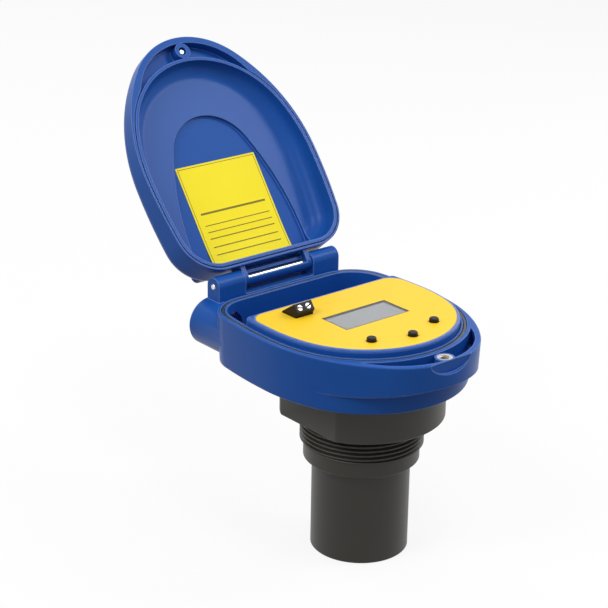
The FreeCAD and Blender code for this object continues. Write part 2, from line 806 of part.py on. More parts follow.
def make_lid():
    panel_rear = dim.rear_y - dim.lid_wall - dim.panel_rear_gap
    outer = make_lid_cap(
        "lid_outer", as_size(0), dim.tip_radius, dim.lid_overhang, lid_z, as_size(0), dim.lid_edge,
        -dim.lid_skin, dim.panel_depth, panel_rear + dim.lid_skin)
    inner = make_lid_cap(
        "lid_inner", dim.lid_wall, lid_front_radius, as_size(0), lid_z - dim.overcut, dim.lid_skin,
        dim.lid_inner_edge, as_size(0), dim.panel_depth, panel_rear)
    moon = prism(
        "lid_pocket_space", lid_z - dim.overcut, dim.lid_pocket + dim.overcut,
        crescent, dim.lid_wall, arc_centre(dim.tip_radius) - dim.lid_overhang,
        lid_front_radius - dim.lid_wall + dim.lid_crest, arc_centre(lid_front_radius), hinged=True)
    groove = prism(
        "lid_groove_space", lid_z - dim.overcut, dim.lid_groove_depth + dim.overcut,
        lid_groove_ring, hinged=True)
    boss = cylinder(
        "lid_screw_boss", dim.lid_boss, dim.lid_pocket + dim.overcut / 2,
        0, insert_y - dim.hinge_y, lid_z - hinge_z)
    hole = cylinder(
        "lid_screw_hole", dim.lid_hole, dim.lid_stock,
        0, insert_y - dim.hinge_y, lid_z - hinge_z - dim.overcut)
    recess = cylinder(
        "lid_screw_recess", dim.lid_recess, dim.lid_stock,
        0, insert_y - dim.hinge_y, lid_z - hinge_z + dim.lid_recess_floor)

    ear_outer = dim.knuckle_inner - dim.hinge_gap
    ear_middle = ear_outer - dim.ear_width / 2
    root_y = dim.rear_y - dim.hinge_y - dim.lid_wall / 2
    hinge_parts = []
    for name, side in (("right_ear", 1), ("left_ear", -1)):
        arm = side_prism(name + "_arm", dim.ear_width, [
            (root_y, -dim.ear_radius),
            (0, -dim.ear_radius),
            (0, dim.ear_radius),
            (root_y, dim.ear_top),
        ], ear_middle * side)
        eye = cylinder(
            name + "_eye", dim.ear_radius, dim.ear_width,
            ear_middle * side - dim.ear_width / 2, 0, 0, Y_AXIS, 90)
        hinge_parts += [arm, eye]
    hinge_parts.append(make_hinge_cover(ear_outer))
    hinge_parts.append(side_prism("lid_hinge_web", ear_outer * 2, [
        (root_y, dim.ear_top - dim.lid_web),
        (0, dim.ear_radius - dim.lid_web),
        (0, dim.ear_radius),
        (root_y, dim.ear_top),
    ]))
    ear_bore = cylinder(
        "ear_bore", dim.pin_radius + dim.pin_fit, ear_outer * 2, -ear_outer, 0, 0, Y_AXIS, 90)

    shell = cut("lid_shell", fuse("lid_solid", outer, *hinge_parts), inner, moon, groove)
    lid = cut("lid", fuse("lid_with_boss", shell, boss), hole, recess, ear_bore)
    return hang(lid)


def lid_groove_ring(sketch):
    """The fine groove that sets the lid's sealing crest apart from its outer wall."""
    inner = dim.lid_wall - dim.lid_crest
    housing_outline(sketch, inner - dim.lid_groove_width, lid_front_radius)
    housing_outline(sketch, inner, lid_front_radius)


def make_hinge_cover(half_length):
    """A split tube round the pin, open on the side that faces the rear wall while the lid is shut."""
    inside = dim.cover_inside
    outside = dim.ear_radius
    body = new_body("hinge_cover")
    sketch = new_sketch(body, "hinge_cover_section", "YZ_Plane")
    start = math.radians(dim.cover_start.number)
    end = start + math.radians(dim.cover_sweep.number)
    outer_arc = arc(sketch, 0, 0, outside.number, start, end)
    inner_arc = arc(sketch, 0, 0, inside.number, start, end)
    links = []
    for turn, point in ((start, 1), (end, 2)):
        direction = FreeCAD.Vector(math.cos(turn), math.sin(turn), 0)
        link = sketch.addGeometry(
            Part.LineSegment(direction * inside.number, direction * outside.number))
        sketch.addConstraint(Sketcher.Constraint("Coincident", link, 1, inner_arc, point))
        sketch.addConstraint(Sketcher.Constraint("Coincident", link, 2, outer_arc, point))
        links.append(link)
    for index, radius in ((outer_arc, outside), (inner_arc, inside)):
        sketch.addConstraint(Sketcher.Constraint("Coincident", index, 3, -1, 1))
        fix_radius(sketch, index, radius)
    for link, angle in zip(links, (dim.cover_start, dim.cover_start + dim.cover_sweep)):
        turn = math.radians(angle.number)
        index = sketch.addConstraint(Sketcher.Constraint("Angle", -1, 1, link, 1, turn))
        sketch.setExpression(f"Constraints[{index}]", angle.text)
    pad(body, sketch, half_length * 2, "Symmetric")
    return body


def hang(piece):
    """Swing a piece drawn from the hinge axis to the open pose."""
    return place(piece, 0, dim.hinge_y, hinge_z, X_AXIS, -dim.lid_open_angle)


def make_lid_label():
    height = dim.lid_height - dim.lid_skin + dim.panel_depth
    start = dim.label_start
    end = dim.label_start + dim.label_length
    label = side_prism("lid_label", dim.label_width, [
        (start - dim.hinge_y, slope_height(height, start) - dim.label_thickness),
        (end - dim.hinge_y, slope_height(height, end) - dim.label_thickness),
        (end - dim.hinge_y, slope_height(height, end)),
        (start - dim.hinge_y, slope_height(height, start)),
    ])
    return hang(label)


def make_hinge_pin():
    half = dim.knuckle_outer + dim.pin_end
    pin = turned("hinge_pin", [
        (0, -half),
        (dim.pin_radius - dim.pin_bevel, -half),
        (dim.pin_radius, dim.pin_bevel - half),
        (dim.pin_radius, half - dim.pin_bevel),
        (dim.pin_radius - dim.pin_bevel, half),
        (0, half),
    ])
    return place(pin, 0, dim.hinge_y, hinge_z, Y_AXIS, 90)


def groove_ring(sketch, clearance):
    """The ring-shaped groove in the rim, drawn narrower by a clearance on both sides."""
    outer = dim.rim_land + clearance
    inner = dim.rim_land + dim.groove_width - clearance
    housing_outline(sketch, outer, front_radius)
    housing_outline(sketch, inner, front_radius)


def make_rim_gasket():
    body = new_body("rim_gasket")
    sketch = new_sketch(body, "gasket_outline", "XY_Plane", 0, 0, rim_z - dim.groove_depth)
    groove_ring(sketch, dim.gasket_clearance)
    ring = pad(body, sketch, dim.groove_depth - dim.gasket_sink)
    round_edges(body, ring, dim.gasket_edge, rim_z - dim.gasket_sink)
    return body


def deck_outline(sketch, inset, rear_inset, corner):
    """Outline of the deck and what lies in it: round front, straight back before the trench."""
    housing_outline(
        sketch, dim.base_wall + dim.deck_clearance + inset, front_radius,
        dim.deck_rear - rear_inset, corner)


def make_deck_cover():
    body = new_body("deck_block")
    outline = new_sketch(body, "deck_block_outline", "XY_Plane", 0, 0, floor_z)
    deck_outline(outline, as_size(0), as_size(0), dim.deck_corner)
    raised = pad(body, outline, plate_z - floor_z)
    round_edges(body, raised, dim.deck_edge, plate_z)
    inside = prism(
        "deck_space", floor_z - dim.overcut, deck_under - floor_z + dim.overcut,
        deck_outline, dim.deck_wall, dim.deck_wall, dim.deck_inner_corner)
    recess = prism(
        "plate_space", plate_low, dim.plate_thickness + dim.overcut,
        deck_outline, dim.border_width, dim.border_width, dim.plate_corner)
    window_fit = dim.plate_fit * 2
    seat = box(
        "window_seat", dim.window_width + window_fit, dim.window_depth + window_fit,
        dim.window_thickness + dim.window_sink + dim.overcut,
        0, dim.window_y, plate_z - dim.window_sink - dim.window_thickness)
    sight = box(
        "window_sight", dim.window_width - dim.window_ledge * 2, dim.window_depth - dim.window_ledge * 2,
        dim.deck_top + dim.overcut * 2, 0, dim.window_y, deck_under - dim.overcut)
    slot = terminal_opening("deck_terminal_slot", deck_under)
    holes = [
        cylinder(
            f"deck_{name}_hole", dim.button_radius + dim.button_clearance,
            dim.deck_top + dim.overcut * 2, x, y, deck_under - dim.overcut)
        for name, (x, y) in button_places().items()
    ]
    hollow = cut("deck_hollow", body, inside, recess, seat, sight, slot, *holes)
    posts = [
        cylinder(
            f"deck_post_{index}", dim.post_radius, deck_under - board_z + dim.deck_top / 2, x, y, board_z)
        for index, (x, y) in enumerate(board_screw_places())
    ]
    post_holes = [
        cylinder(
            f"deck_post_hole_{index}", dim.board_screw + dim.screw_fit, dim.board_screw_grip + dim.overcut,
            x, y, board_z - dim.overcut)
        for index, (x, y) in enumerate(board_screw_places())
    ]
    return cut("deck_cover", fuse("deck_with_posts", hollow, *posts), *post_holes)


def terminal_opening(name, level):
    return box(
        name, dim.terminal_width + dim.terminal_fit * 2, dim.terminal_depth + dim.terminal_fit * 2,
        dim.deck_rise + dim.overcut * 2, dim.terminal_x,
        dim.terminal_front + dim.terminal_depth / 2, level - dim.overcut)


def make_face_plate():
    body = new_body("plate_sheet")
    sketch = new_sketch(body, "plate_outline", "XY_Plane", 0, 0, plate_low)
    edge = dim.border_width + dim.plate_fit
    deck_outline(sketch, edge, edge, dim.plate_corner)
    pad(body, sketch, dim.plate_thickness)
    fit = dim.plate_fit * 2
    level = plate_low - dim.overcut
    window = box(
        "plate_window", dim.window_width + fit, dim.window_depth + fit,
        dim.plate_thickness + dim.overcut * 2, 0, dim.window_y, level)
    slot = terminal_opening("plate_terminal_slot", plate_low)
    holes = [
        cylinder(
            f"plate_{name}_hole", dim.button_radius + dim.button_clearance,
            dim.plate_thickness + dim.overcut * 2, x, y, level)
        for name, (x, y) in button_places().items()
    ]
    return cut("face_plate", body, window, slot, *holes)


def make_display():
    window_low = plate_z - dim.window_sink - dim.window_thickness
    window = box(
        "display_window", dim.window_width, dim.window_depth, dim.window_thickness,
        0, dim.window_y, window_low)
    module_low = deck_under - dim.module_gap - dim.module_height
    carrier = box(
        "display_frame", dim.window_width + dim.module_margin * 2, dim.window_depth + dim.module_margin * 2,
        dim.module_height, 0, dim.window_y, module_low)
    border = (dim.window_ledge + dim.glass_fit) * 2
    glass = box(
        "display_glass", dim.window_width - border, dim.window_depth - border,
        window_low - dim.module_gap - module_low, 0, dim.window_y, module_low)
    module = fuse("display_module", carrier, glass)
    header = box(
        "display_header", dim.header_width, dim.header_depth, module_low - board_z,
        0, dim.window_y + dim.window_depth / 2, board_z)
    return [window, module, header]


def make_circuit_board():
    body = new_body("circuit_board")
    sketch = new_sketch(body, "board_outline", "XY_Plane", 0, 0, board_low)
    inset = dim.deck_wall + dim.board_margin
    deck_outline(sketch, inset, inset, dim.board_corner)
    for x, y in board_screw_places():
        circle(sketch, x, y, dim.board_screw + dim.screw_clearance)
    pad(body, sketch, dim.board_thickness)
    return body


def screw(name, radius, head_radius, head_height, grip, x, y, z, side):
    """A pan-head screw whose head bears at z; side 1 drives it down, side -1 drives it up."""
    head_low = z if side > 0 else z - head_height
    shank_low = z - grip if side > 0 else z
    head = cylinder(name + "_head", head_radius, head_height, x, y, head_low)
    shank = cylinder(name + "_shank", radius, grip, x, y, shank_low)
    return fuse(name, head, shank)


def make_screws():
    flange_screws = [
        screw(
            f"flange_screw_{index}", dim.flange_screw, dim.flange_screw_head, dim.flange_screw_head_height,
            dim.base_floor + dim.flange_screw_grip, x, y, floor_z, 1)
        for index, (x, y) in enumerate(flange_screw_places())
    ]
    board_screws = [
        screw(
            f"board_screw_{index}", dim.board_screw, dim.board_screw_head, dim.board_screw_head_height,
            dim.board_thickness + dim.board_screw_grip, x, y, board_low, -1)
        for index, (x, y) in enumerate(board_screw_places())
    ]
    return [group("flange_screws", flange_screws), group("board_screws", board_screws)]


def make_button(name, x, y):
    flange_top = deck_under - dim.button_clearance
    flange_low = flange_top - dim.button_flange_height
    top = plate_z + dim.button_rise
    stem_low = board_z + dim.switch_height - dim.switch_overlap
    return turned(name, [
        (0, stem_low),
        (dim.button_stem, stem_low),
        (dim.button_stem, flange_low),
        (dim.button_flange, flange_low),
        (dim.button_flange, flange_top),
        (dim.button_radius, flange_top),
        (dim.button_radius, top - dim.button_bevel),
        (dim.button_radius - dim.button_bevel, top),
        (0, top),
    ], x, y)


def make_tact_switches():
    switches = []
    for name, (x, y) in button_places().items():
        case = box(
            f"{name}_switch_case", dim.switch_width, dim.switch_width, dim.switch_height, x, y, board_z)
        depth = dim.switch_overlap + dim.button_travel + dim.button_clearance
        well = cylinder(
            f"{name}_switch_well", dim.button_stem + dim.button_clearance, depth + dim.overcut,
            x, y, board_z + dim.switch_height - depth)
        switches.append(cut(f"{name}_switch", case, well))
    return group("tact_switches", switches)


def terminal_lip():
    """Front edge of the terminal block's slanting screw face, in Y and Z."""
    return dim.terminal_front - dim.terminal_lip_reach, plate_z + dim.terminal_lip_rise


def on_screw_face(piece, x, depth):
    """Set a piece square to the screw face, its base at one depth below the middle of the face."""
    lip_y, lip_z = terminal_lip()
    slope = dim.terminal_face_angle
    half = dim.terminal_face / 2
    y = lip_y + half * cosine(slope) + depth * sine(slope)
    z = lip_z + half * sine(slope) - depth * cosine(slope)
    return place(piece, x, y, z, X_AXIS, slope)


def make_terminal_screw(name, x, turn):
    """A slotted clamping screw, drawn upright and then set on the screw face."""
    height = dim.terminal_screw_height
    body = cylinder(name + "_body", dim.terminal_screw, height, 0, 0, 0)
    half_length = dim.terminal_screw * 1.5
    half_width = dim.terminal_slot / 2
    slot = bind(
        doc.addObject("Part::Box", name + "_slot"), Length=half_length * 2, Width=dim.terminal_slot,
        Height=dim.terminal_slot_depth + dim.overcut)
    place(
        slot, half_width * sine(turn) - half_length * cosine(turn),
        -half_length * sine(turn) - half_width * cosine(turn),
        height - dim.terminal_slot_depth, Z_AXIS, turn)
    return on_screw_face(cut(name, body, slot), x, height + dim.terminal_screw_sink)


def make_terminal():
    lip_y, lip_z = terminal_lip()
    back = dim.terminal_front + dim.terminal_depth
    heel = plate_z + dim.terminal_heel
    block = side_prism("terminal_wedge", dim.terminal_width, [
        (dim.terminal_front, board_z),
        (back, board_z),
        (back, heel),
        (
            lip_y + dim.terminal_face * cosine(dim.terminal_face_angle),
            lip_z + dim.terminal_face * sine(dim.terminal_face_angle),
        ),
        (lip_y, lip_z),
        (dim.terminal_front, heel),
    ], dim.terminal_x)
    spaces = []
    screws = []
    for side, turn, name in ((-1, dim.left_slot_turn, "left"), (1, dim.right_slot_turn, "right")):
        x = dim.terminal_x + dim.terminal_pitch / 2 * side
        well = bind(
            doc.addObject("Part::Cylinder", name + "_terminal_well"),
            Radius=dim.terminal_screw + dim.screw_fit, Height=dim.terminal_screw_height + dim.overcut)
        spaces.append(on_screw_face(well, x, dim.terminal_screw_height + dim.terminal_screw_sink))
        spaces.append(cylinder(
            name + "_terminal_entry", dim.terminal_entry, dim.terminal_entry_depth + dim.overcut,
            x, back + dim.overcut, plate_z + dim.terminal_entry_rise, X_AXIS, 90))
        screws.append(make_terminal_screw(name + "_terminal_screw", x, turn))
    return [cut("terminal_block", block, *spaces), group("terminal_screws", screws)]


def make_insert():
    outer = cylinder(
        "insert_sleeve", dim.insert_radius, dim.insert_length,
        0, insert_y, rim_z - dim.insert_sink - dim.insert_length)
    bore = cylinder(
        "insert_thread", dim.insert_bore, dim.insert_length + dim.overcut * 2,
        0, insert_y, rim_z - dim.insert_sink - dim.insert_length - dim.overcut)
    return cut("lid_screw_insert", outer, bore)


def make_acoustic_stack():
    radius = dim.bore_radius - dim.stack_clearance
    matching = cylinder("matching_layer", radius, dim.matching_thickness, 0, 0, dim.face_thickness)
    piezo_low = dim.face_thickness + dim.matching_thickness
    piezo = cylinder("piezo_disc", dim.piezo_radius, dim.piezo_thickness, 0, 0, piezo_low)
    piezo_top = piezo_low + dim.piezo_thickness
    block = cylinder("backing_disc", radius, dim.backing_thickness, 0, 0, piezo_top)
    half = dim.lead_spacing / 2
    passages = []
    leads = []
    for index, x in enumerate((-half, half)):
        passages.append(cylinder(
            f"lead_passage_{index}", dim.lead_radius + dim.stack_clearance,
            dim.backing_thickness + dim.overcut * 2, x, 0, piezo_top - dim.overcut))
        leads.append(cylinder(
            f"sensor_lead_{index}", dim.lead_radius, board_low - piezo_top, x, 0, piezo_top))
    backing = cut("backing_block", block, *passages)
    return [matching, piezo, backing, group("sensor_leads", leads)]


def make_flange_seal():
    ring = bind(
        doc.addObject("Part::Torus", "flange_seal"), Radius1=dim.seal_radius, Radius2=dim.seal_section)
    return place(ring, 0, 0, base_z - dim.seal_section)


pieces = [
    make_transducer_housing(),
    make_flange_seal(),
    make_base_housing(),
    make_insert(),
    make_rim_gasket(),
    make_deck_cover(),
    make_face_plate(),
    make_circuit_board(),
    make_tact_switches(),
    make_hinge_pin(),
    make_lid(),
    make_lid_label(),
]
pieces += make_acoustic_stack()
pieces += make_display()
pieces += make_screws()
pieces += make_terminal()
pieces += [make_button(name, x, y) for name, (x, y) in button_places().items()]

doc.recompute()
faulty = [
    obj.Label for obj in doc.Objects
    if "Invalid" in obj.State or "Error" in obj.State
]
faulty += [piece.Label for piece in pieces if piece.Shape.isNull() or not piece.Shape.isValid()]
if faulty:
    raise RuntimeError("these objects failed: " + ", ".join(faulty))

os.makedirs("parts", exist_ok=True)
for piece in pieces:
    piece.Shape.exportStep(f"parts/{piece.Label}.step")
    print(piece.Label, len(piece.Shape.Solids), round(piece.Shape.Volume, 1))
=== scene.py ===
import json
import math

import bmesh
import bpy
from mathutils import Matrix, Vector


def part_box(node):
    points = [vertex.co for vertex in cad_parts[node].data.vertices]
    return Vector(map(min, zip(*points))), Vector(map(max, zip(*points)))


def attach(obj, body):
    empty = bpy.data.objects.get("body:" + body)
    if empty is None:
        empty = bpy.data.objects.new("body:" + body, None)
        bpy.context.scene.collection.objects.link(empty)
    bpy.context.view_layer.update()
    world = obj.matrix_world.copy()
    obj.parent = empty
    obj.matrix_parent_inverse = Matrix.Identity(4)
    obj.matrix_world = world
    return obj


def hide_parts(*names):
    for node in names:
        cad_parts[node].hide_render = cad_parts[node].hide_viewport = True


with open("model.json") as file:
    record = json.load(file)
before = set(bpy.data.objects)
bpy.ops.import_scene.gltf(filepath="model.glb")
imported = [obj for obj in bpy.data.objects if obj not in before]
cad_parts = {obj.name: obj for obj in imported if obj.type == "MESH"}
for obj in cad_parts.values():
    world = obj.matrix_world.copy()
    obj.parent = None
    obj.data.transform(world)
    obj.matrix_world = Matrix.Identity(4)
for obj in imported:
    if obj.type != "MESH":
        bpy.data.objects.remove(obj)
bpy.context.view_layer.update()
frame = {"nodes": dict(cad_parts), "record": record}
nodes = frame["nodes"]
record = frame["record"]
mounts = {mount["name"]: mount for mount in record["mounts"]}
mm = 0.001
scene = bpy.context.scene
scene.view_settings.view_transform = "Standard"
print("frame loaded:", len(nodes), "CAD nodes")


# Camera, fitted to the rim, the barrel and the open lid in the photograph
photoCamera = {
    "target": (0.0, 0.0, 60.0),  # mm, on the barrel's axis
    "azimuth": -40.21,
    "elevation": 21.27,
    "roll": 0.93,
    "distance": 912.02,
    "slide": (27.96, -60.95),  # mm, image centre to target, right and up
    "focalPixels": 1884.07,
    "imagePixels": 608,
    "sensor": 36.0,
    "clip": (0.01, 50.0),  # m
}


def addCamera(settings):
    azimuth, elevation, roll = (math.radians(settings[key]) for key in ("azimuth", "elevation", "roll"))
    flat = Vector((math.cos(azimuth), math.sin(azimuth), 0))
    back = Vector((
        math.sin(azimuth) * math.cos(elevation),
        -math.cos(azimuth) * math.cos(elevation),
        math.sin(elevation),
    ))
    steep = back.cross(flat)
    right = flat * math.cos(roll) + steep * math.sin(roll)
    up = steep * math.cos(roll) - flat * math.sin(roll)
    slideRight, slideUp = settings["slide"]
    eye = Vector(settings["target"]) + back * settings["distance"] - right * slideRight - up * slideUp
    data = bpy.data.cameras.new("photoCamera")
    data.sensor_width = settings["sensor"]
    data.lens = settings["focalPixels"] / settings["imagePixels"] * settings["sensor"]
    data.clip_start, data.clip_end = settings["clip"]
    camera = bpy.data.objects.new("photoCamera", data)
    scene.collection.objects.link(camera)
    axes = Matrix((right, up, back)).transposed()
    camera.matrix_world = Matrix.Translation(eye * mm) @ axes.to_4x4()
    scene.camera = camera


addCamera(photoCamera)
print("camera placed")


# Small helpers for meshes
creaseAngle = 35  # degrees, sharper edges stay hard
weld = 1e-7  # m, points that a spin leaves on each other


def meshFrom(bm, name):
    mesh = bpy.data.meshes.new(name)
    bm.to_mesh(mesh)
    bm.free()
    return mesh


def smoothShade(mesh, angle):
    mesh.shade_smooth()
    mesh.set_sharp_from_angle(angle=math.radians(angle))


def finishPiece(bm, name, body, angle=creaseAngle):
    mesh = meshFrom(bm, name)
    facetNormals = mesh.attributes.get("custom_normal")  # left over on a copied CAD mesh
    if facetNormals:
        mesh.attributes.remove(facetNormals)
    smoothShade(mesh, angle)
    piece = bpy.data.objects.new(name, mesh)
    scene.collection.objects.link(piece)
    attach(piece, body)
    return piece


def dress(material, piece):
    piece.data.materials.clear()
    piece.data.materials.append(material)


# Small helpers for materials
def linear(hexColour):  # from sRGB
    channels = [int(hexColour[i:i + 2], 16) / 255 for i in (0, 2, 4)]
    curved = [c / 12.92 if c <= 0.04045 else ((c + 0.055) / 1.055) ** 2.4 for c in channels]
    return (*curved, 1.0)


def plug(tree, node, inputs):
    for socket, value in inputs.items():
        if isinstance(value, bpy.types.NodeSocket):
            tree.links.new(value, node.inputs[socket])
        else:
            node.inputs[socket].default_value = value


def addNode(tree, kind, inputs=None, **settings):
    node = tree.nodes.new(kind)
    for name, value in settings.items():
        setattr(node, name, value)
    plug(tree, node, inputs or {})
    return node


def startMaterial(name):
    material = bpy.data.materials.new(name)
    material.use_nodes = True
    tree = material.node_tree
    shader = tree.nodes["Principled BSDF"]
    place = addNode(tree, "ShaderNodeTexCoord").outputs["Object"]
    return material, tree, shader, place


def grain(sizeMm):
    return 1 / (sizeMm * mm)  # texture scale for a feature of that size


# A colour that drifts to its shade in patches
def driftingColour(tree, place, settings, patchRoughness=0.5):
    patches = addNode(tree, "ShaderNodeTexNoise", {
        "Vector": place, "Scale": grain(settings["patchSize"]),
        "Detail": 3.0, "Roughness": patchRoughness})
    return addNode(tree, "ShaderNodeMix", {
        "Factor": patches.outputs["Fac"],
        "A": linear(settings["colour"]),
        "B": linear(settings["shade"]),
    }, data_type="RGBA").outputs["Result"]


# Edges softened by a bevel, with a painted pale highlight where it turns the surface: the colour and
# the soft normal
def paintedEdgeHighlights(tree, colour, settings):
    highlightStart, highlightFull = 0.996, 0.94  # cosine of that turn
    soft = addNode(tree, "ShaderNodeBevel", {"Radius": settings["edgeRadius"] * mm}, samples=6)
    flat = addNode(tree, "ShaderNodeNewGeometry")
    turn = addNode(tree, "ShaderNodeVectorMath", {
        0: soft.outputs["Normal"], 1: flat.outputs["Normal"]}, operation="DOT_PRODUCT")
    edges = addNode(tree, "ShaderNodeMapRange", {
        "Value": turn.outputs["Value"],
        "From Min": highlightStart, "From Max": highlightFull, "To Min": 0.0, "To Max": settings["edgeHighlightShare"]})
    # painted highlight: the edge colour mixed in where the bevel's normal turns away from the surface's
    highlighted = addNode(tree, "ShaderNodeMix", {
        "Factor": edges.outputs["Result"],
        "A": colour,
        "B": linear(settings["edge"]),
    }, data_type="RGBA")
    return highlighted.outputs["Result"], soft.outputs["Normal"]


# Fine grain of the mould, as a bump over the softened edges
def mouldGrain(tree, place, settings, soft, strength=0.5):
    speckle = addNode(tree, "ShaderNodeTexNoise", {
        "Vector": place, "Scale": grain(settings["grainSize"]), "Detail": 2.0})
    return addNode(tree, "ShaderNodeBump", {
        "Height": speckle.outputs["Fac"], "Normal": soft,
        "Distance": settings["grainDepth"] * mm, "Strength": strength}).outputs["Normal"]


# Moulded ABS with a fine spark-eroded grain: satin, with softened edges and a painted pale highlight
# along them
blueAbs = {
    "colour": "1C56AA",
    "shade": "194FA0",
    "patchSize": 30.0,  # mm
    # edge colour and its share: the painted pale highlight along the edges
    "edge": "7C98DC",
    "edgeHighlightShare": 0.7,
    "edgeRadius": 0.7,
    "roughness": 0.32,
    "ior": 1.53,
    "specular": 0.13,
    "grainSize": 0.45,  # mm, coarser than the real 0.1 mm so that it shows
    "grainDepth": 0.012,
}
# The deck has a broad rounded border with a wider, paler painted highlight
deckAbs = dict(blueAbs, edge="96AAE6", edgeHighlightShare=0.9, edgeRadius=1.7)


def mouldedBlueAbs(name, settings):
    material, tree, shader, place = startMaterial(name)
    shaded = driftingColour(tree, place, settings, patchRoughness=0.6)
    colour, soft = paintedEdgeHighlights(tree, shaded, settings)
    plug(tree, shader, {
        "Base Color": colour,
        "Normal": mouldGrain(tree, place, settings, soft, strength=0.6),
        "Roughness": settings["roughness"],
        "IOR": settings["ior"],
        "Specular IOR Level": settings["specular"],
    })
    return material


# Turned dark thermoplastic: satin grey-black with faint tool lines round the axis and a painted pale
# highlight on its edges
darkPlastic = {
    "colour": "272723",
    "shade": "322E27",
    "patchSize": 18.0,  # mm
    # edge colour and its share: the painted pale highlight along the edges
    "edge": "6E6A64",
    "edgeHighlightShare": 0.6,
    "edgeRadius": 0.5,
    "roughness": 0.4,
    "ior": 1.5,
    "specular": 0.4,
    "toolPitch": 1.4,  # mm, coarser than the real 0.2 mm feed so that it shows
    "toolDepth": 0.006,
    "toolWander": 0.4,
}


def turnedDarkPlastic(settings):
    material, tree, shader, place = startMaterial("turnedDarkPlastic")
    shaded = driftingColour(tree, place, settings)
    colour, soft = paintedEdgeHighlights(tree, shaded, settings)
    waveRate = 20  # radians that the wave texture turns over one unit
    lines = addNode(tree, "ShaderNodeTexWave", {
        "Vector": place, "Scale": grain(settings["toolPitch"]) * math.tau / waveRate,
        "Distortion": settings["toolWander"], "Detail": 1.0, "Detail Scale": 2.0}, bands_direction="Z")
    bump = addNode(tree, "ShaderNodeBump", {
        "Height": lines.outputs["Fac"], "Normal": soft,
        "Distance": settings["toolDepth"] * mm, "Strength": 0.5})
    plug(tree, shader, {
        "Base Color": colour,
        "Normal": bump.outputs["Normal"],
        "Roughness": settings["roughness"],
        "IOR": settings["ior"],
        "Specular IOR Level": settings["specular"],
    })
    return material


# Plainer finishes share one build: a colour that drifts, a fine grain, softened edges; sizes in mm,
# the grain coarser than the real 0.1 mm or less so that it shows
plainFinishes = {
    "printedYellowFilm": {  # polycarbonate overlay, reverse printed: even yellow under a velvet face
        "colour": "F9D02C", "shade": "F7CB22", "roughness": 0.4, "ior": 1.58, "specular": 0.2,
        "grainSize": 0.35, "grainDepth": 0.006, "patchSize": 40.0, "edgeRadius": 0.25},
    "blackNylon": {  # moulded buttons and terminal block: brownish black, a dull gleam on the edges
        "colour": "1A1514", "shade": "231C1A", "roughness": 0.38, "ior": 1.53, "specular": 0.16,
        "grainSize": 0.3, "grainDepth": 0.01, "patchSize": 5.0, "edgeRadius": 0.3},
    "greyNitrile": {  # extruded seal cord: dark and matt, with a bluish bloom
        "colour": "263440", "shade": "303E48", "roughness": 0.36, "ior": 1.5, "specular": 0.5,
        "grainSize": 0.4, "grainDepth": 0.015, "patchSize": 6.0, "edgeRadius": 0.2},
    "displayGlass": {  # unlit reflective display behind its polariser: flat silver grey
        "colour": "8F9296", "shade": "9B9DA0", "roughness": 0.3, "ior": 1.5, "specular": 0.3,
        "grainSize": 0.5, "grainDepth": 0.002, "patchSize": 14.0, "edgeRadius": 0.2},
    "greenSolderMask": {  # coated circuit board: deep green with a shine
        "colour": "12532B", "shade": "0E4724", "roughness": 0.3, "ior": 1.5, "specular": 0.3,
        "grainSize": 0.6, "grainDepth": 0.01, "patchSize": 8.0, "edgeRadius": 0.15},
    "castEpoxy": {  # filled casting resin: brown and slightly gritty
        "colour": "4A4136", "shade": "3D362D", "roughness": 0.5, "ior": 1.55, "specular": 0.4,
        "grainSize": 0.5, "grainDepth": 0.02, "patchSize": 4.0, "edgeRadius": 0.2},
    "firedCeramic": {  # piezo disc: chalky cream
        "colour": "C9BFA6", "shade": "B9AE94", "roughness": 0.45, "ior": 1.6, "specular": 0.4,
        "grainSize": 0.3, "grainDepth": 0.01, "patchSize": 3.0, "edgeRadius": 0.2},
}


def plainFinish(name, settings):
    material, tree, shader, place = startMaterial(name)
    soft = addNode(tree, "ShaderNodeBevel", {"Radius": settings["edgeRadius"] * mm}, samples=4)
    plug(tree, shader, {
        "Base Color": driftingColour(tree, place, settings),
        "Normal": mouldGrain(tree, place, settings, soft.outputs["Normal"]),
        "Roughness": settings["roughness"],
        "IOR": settings["ior"],
        "Specular IOR Level": settings["specular"],
    })
    return material


# Metals: bright, with scratches that vary the gloss, and painted shade that darkens them in slots and
# hollows; sizes in mm, the scratches coarser than real so that they show, nook is the painted shade's
# reach and the openness at which the metal is fully in the painted shade and fully clear of it
metalFinishes = {
    "drawnStainless": {  # pin and screws: pale grey
        "colour": "DADAD8", "nookShade": "6A6660", "nook": (0.8, 0.5, 0.9),
        "roughness": (0.2, 0.36), "scratch": 0.25, "edgeRadius": 0.15},
    "zincedSteel": {  # clamping screws: bright heads, slots black with painted shade
        "colour": "D2D2D0", "nookShade": "14110E", "nook": (2.4, 0.72, 1.0),
        "roughness": (0.3, 0.45), "scratch": 0.25, "edgeRadius": 0.15},
    "nickeledBrass": {  # pressed-in insert: warm silver, with brown painted shade in the thread
        "colour": "D4D2CC", "nookShade": "A88E70", "nook": (1.2, 0.5, 0.9),
        "roughness": (0.2, 0.38), "scratch": 0.3, "edgeRadius": 0.15},
    "tinnedCopper": {  # leads: copper that shows through thin tinning
        "colour": "C98A62", "nookShade": "4A2C1C", "nook": (1.2, 0.5, 0.9),
        "roughness": (0.25, 0.4), "scratch": 0.3, "edgeRadius": 0.15},
}


